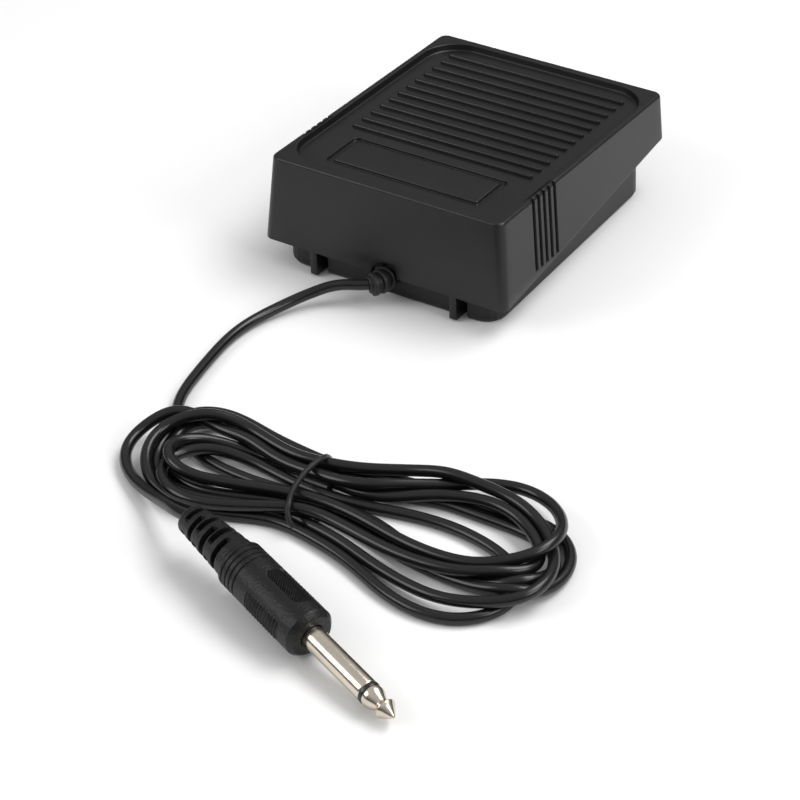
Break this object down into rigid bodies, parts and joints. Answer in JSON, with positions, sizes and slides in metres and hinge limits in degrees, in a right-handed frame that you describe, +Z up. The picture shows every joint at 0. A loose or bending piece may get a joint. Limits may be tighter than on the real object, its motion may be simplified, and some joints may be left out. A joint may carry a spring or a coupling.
{
  "type": "sustain pedal",
  "caption": "Box-shaped foot pedal switch: ribbed treadle hinged on a low base tray, with a tied cord ending in a 6.35 mm jack plug.",
  "frame": {"origin": "bottom centre of the pedal without its cord, on the surface that it stands on", "axes": "+Z up, +Y towards the player's end that is pressed, -Y the hinge and cord end, +X across the pedal to the right when seen from the cord end"},
  "size_m": [0.1564, 0.2584, 0.0361],
  "materials": {
    "shell_plastic": "satin black ABS with a fine moulded grain",
    "switch_plastic": "satin black",
    "plunger_plastic": "red, smooth",
    "rubber": "matte black",
    "cord_pvc": "soft black PVC, slightly glossy",
    "plug_pvc": "moulded black PVC with a coarse grain",
    "ring_plastic": "black",
    "nickel": "bright nickel plate, slightly warm",
    "steel": "zinc-plated",
    "brass": "tinned brass, dull",
    "wire_white": "white insulation",
    "wire_black": "black insulation"
  },
  "bodies": {
    "base": {"base_tray": "shell_plastic", "switch_case": "switch_plastic", "cable_clamp": "switch_plastic", "rubber_foot_1": "rubber", "rubber_foot_2": "rubber", "rubber_foot_3": "rubber", "rubber_foot_4": "rubber", "stop_pad_left": "rubber", "stop_pad_right": "rubber", "strain_relief": "cord_pvc", "inner_cable": "cord_pvc", "cord_lead": "cord_pvc", "cord_hank": "cord_pvc", "cord_tie": "cord_pvc", "cord_tail": "cord_pvc", "plug_body": "plug_pvc", "plug_insulator": "ring_plastic", "plug_sleeve": "nickel", "plug_tip": "nickel", "hinge_pin_left": "steel", "hinge_pin_right": "steel", "return_spring": "steel", "switch_screw_1": "steel", "switch_screw_2": "steel", "clamp_screw_left": "steel", "clamp_screw_right": "steel", "switch_terminal_1": "brass", "switch_terminal_2": "brass", "switch_terminal_3": "brass", "lead_wire_signal": "wire_white", "lead_wire_ground": "wire_black"},
    "treadle": {"treadle": "shell_plastic"},
    "switch_lever": {"switch_lever": "steel"},
    "switch_plunger": {"switch_plunger": "plunger_plastic"}
  },
  "joints": [
    {"name": "treadle_hinge", "type": "hinge", "parent": "base", "child": "treadle", "pos_m": [0, -0.0442, 0.0049], "axis": [-1, 0, 0], "range_deg": [0, 5], "stiffness_Nm_per_rad": 3.4, "springref_deg": -5.16, "deforming": ["return_spring"]},
    {"name": "switch_lever_pivot", "type": "hinge", "parent": "base", "child": "switch_lever", "pos_m": [0.0165, -0.02625, 0.0172], "axis": [-1, 0, 0], "range_deg": [0, 10.3]},
    {"name": "switch_plunger_slide", "type": "slide", "parent": "base", "child": "switch_plunger", "axis": [0, 0, -1], "range_m": [0, 0.0012]}
  ],
  "couplings": [
    {"joint": "switch_lever_pivot", "follows": "treadle_hinge", "ratio": 2.04},
    {"joint": "switch_plunger_slide", "follows": "treadle_hinge", "m_per_rad": 0.0126}
  ]
}
